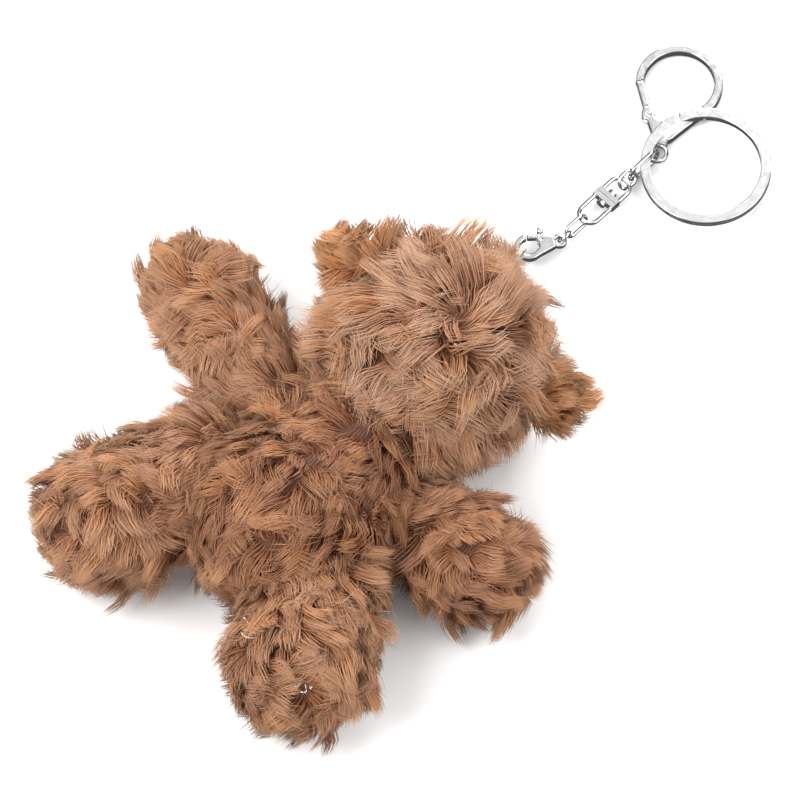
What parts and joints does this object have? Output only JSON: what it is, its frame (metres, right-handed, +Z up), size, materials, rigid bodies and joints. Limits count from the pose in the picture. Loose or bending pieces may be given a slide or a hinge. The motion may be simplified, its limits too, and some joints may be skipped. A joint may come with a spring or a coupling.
{
  "type": "plush bear keychain",
  "caption": "Shaggy stuffed bear lying on its back, with a hang loop, small clasp, swivel chain, split ring and large spring clasp.",
  "frame": {"origin": "centre of the whole assembly's bounding box, on the surface it lies on", "axes": "+Y from the bear's feet to its head, +X to the bear's own left, +Z up from its back to its belly"},
  "size_m": [0.1154, 0.204, 0.0537],
  "materials": {
    "fur_fabric": "matte",
    "stuffing": "matte",
    "black_bead": "gloss",
    "nose_bead": "satin",
    "washer_plastic": "matte",
    "thread": "matte",
    "cord": "matte",
    "bright_metal": "polished",
    "pin_steel": "satin",
    "spring_steel": "satin"
  },
  "bodies": {
    "torso": {"torso_front_panel": "fur_fabric", "torso_back_panel": "fur_fabric", "torso_stuffing": "stuffing"},
    "head": {"head_front_panel": "fur_fabric", "head_back_panel": "fur_fabric", "head_stuffing": "stuffing", "ear_left": "fur_fabric", "ear_right": "fur_fabric", "eye_left": "black_bead", "eye_right": "black_bead", "nose": "nose_bead", "eye_nose_washers": "washer_plastic", "hang_loop": "cord"},
    "arm_left": {"arm_left_skin": "fur_fabric", "arm_left_stuffing": "stuffing"},
    "arm_right": {"arm_right_skin": "fur_fabric", "arm_right_stuffing": "stuffing"},
    "leg_left": {"leg_left_skin": "fur_fabric", "leg_left_stuffing": "stuffing", "closing_stitches": "thread"},
    "leg_right": {"leg_right_skin": "fur_fabric", "leg_right_stuffing": "stuffing"},
    "small_clasp": {"small_clasp_body": "bright_metal", "small_clasp_pin": "pin_steel", "small_clasp_spring": "spring_steel"},
    "small_gate": {"small_clasp_gate": "bright_metal"},
    "jump_ring": {"jump_ring": "bright_metal"},
    "small_link": {"small_link": "bright_metal"},
    "swivel_lower": {"swivel_lower_loop": "bright_metal", "swivel_rivet": "pin_steel"},
    "swivel_upper": {"swivel_upper_loop": "bright_metal"},
    "link_a": {"link_a": "bright_metal"},
    "link_b": {"link_b": "bright_metal"},
    "split_ring": {"split_ring": "bright_metal"},
    "big_clasp": {"big_clasp_body": "bright_metal", "big_clasp_pin": "pin_steel", "big_clasp_spring": "spring_steel"},
    "big_gate": {"big_clasp_gate": "bright_metal"}
  },
  "joints": [
    {"name": "neck_turn", "type": "hinge", "parent": "torso", "child": "head", "pos_m": [0.00875, -0.009, 0.0263], "axis": [0, 1, 0], "range_deg": [-15, 15], "stiffness_Nm_per_rad": 0.06},
    {"name": "arm_left_flex", "type": "hinge", "parent": "torso", "child": "arm_left", "pos_m": [0.02475, -0.0414, 0.0155], "axis": [0, 0, 1], "range_deg": [-15, 15], "stiffness_Nm_per_rad": 0.02},
    {"name": "arm_right_flex", "type": "hinge", "parent": "torso", "child": "arm_right", "pos_m": [-0.01475, -0.0361, 0.0155], "axis": [0, 0, 1], "range_deg": [-15, 15], "stiffness_Nm_per_rad": 0.02},
    {"name": "leg_left_flex", "type": "hinge", "parent": "torso", "child": "leg_left", "pos_m": [0.02115, -0.0686, 0.019], "axis": [-0.884, -0.4674, 0], "range_deg": [-6, 15], "stiffness_Nm_per_rad": 0.06},
    {"name": "leg_right_flex", "type": "hinge", "parent": "torso", "child": "leg_right", "pos_m": [-0.01625, -0.0612, 0.019], "axis": [-0.9191, 0.3939, 0], "range_deg": [-6, 15], "stiffness_Nm_per_rad": 0.06},
    {"name": "loop_to_clasp", "type": "hinge", "parent": "head", "child": "small_clasp", "pos_m": [0.00183, 0.03575, 0.003], "axis": [0, 0, 1], "range_deg": [-30, 30]},
    {"name": "small_gate", "type": "hinge", "parent": "small_clasp", "child": "small_gate", "pos_m": [0.00339, 0.04015, 0.003], "axis": [0, 0, 1], "range_deg": [0, 25], "stiffness_Nm_per_rad": 0.002},
    {"name": "clasp_to_jump_ring", "type": "hinge", "parent": "small_clasp", "child": "jump_ring", "pos_m": [0.00705, 0.0422, 0.003], "axis": [0, 0, 1], "range_deg": [-25, 25]},
    {"name": "jump_ring_to_link", "type": "hinge", "parent": "jump_ring", "child": "small_link", "pos_m": [0.00742, 0.04508, 0.003], "axis": [0, 0, 1], "range_deg": [-25, 25]},
    {"name": "link_to_swivel", "type": "hinge", "parent": "small_link", "child": "swivel_lower", "pos_m": [0.00815, 0.05073, 0.003], "axis": [0, 0, 1], "range_deg": [-20, 20]},
    {"name": "swivel_spin", "type": "hinge", "parent": "swivel_lower", "child": "swivel_upper", "pos_m": [0.00903, 0.05752, 0.003], "axis": [0.1279, 0.9918, 0], "continuous": true},
    {"name": "swivel_to_link_a", "type": "hinge", "parent": "swivel_upper", "child": "link_a", "pos_m": [0.00962, 0.06209, 0.003], "axis": [0, 0, 1], "range_deg": [-30, 30]},
    {"name": "link_a_to_link_b", "type": "hinge", "parent": "link_a", "child": "link_b", "pos_m": [0.01002, 0.06521, 0.003], "axis": [0, 0, 1], "range_deg": [-25, 25]},
    {"name": "ring_turn", "type": "hinge", "parent": "link_b", "child": "split_ring", "pos_m": [0.02245, 0.0775, 0.00375], "axis": [0, 0, 1], "continuous": true},
    {"name": "link_b_to_clasp", "type": "hinge", "parent": "link_b", "child": "big_clasp", "pos_m": [0.01118, 0.07419, 0.003], "axis": [0, 0, 1], "range_deg": [-30, 30]},
    {"name": "big_gate", "type": "hinge", "parent": "big_clasp", "child": "big_gate", "pos_m": [0.0034, 0.0814, 0.00175], "axis": [0, 0, -1], "range_deg": [0, 25], "stiffness_Nm_per_rad": 0.004}
  ]
}
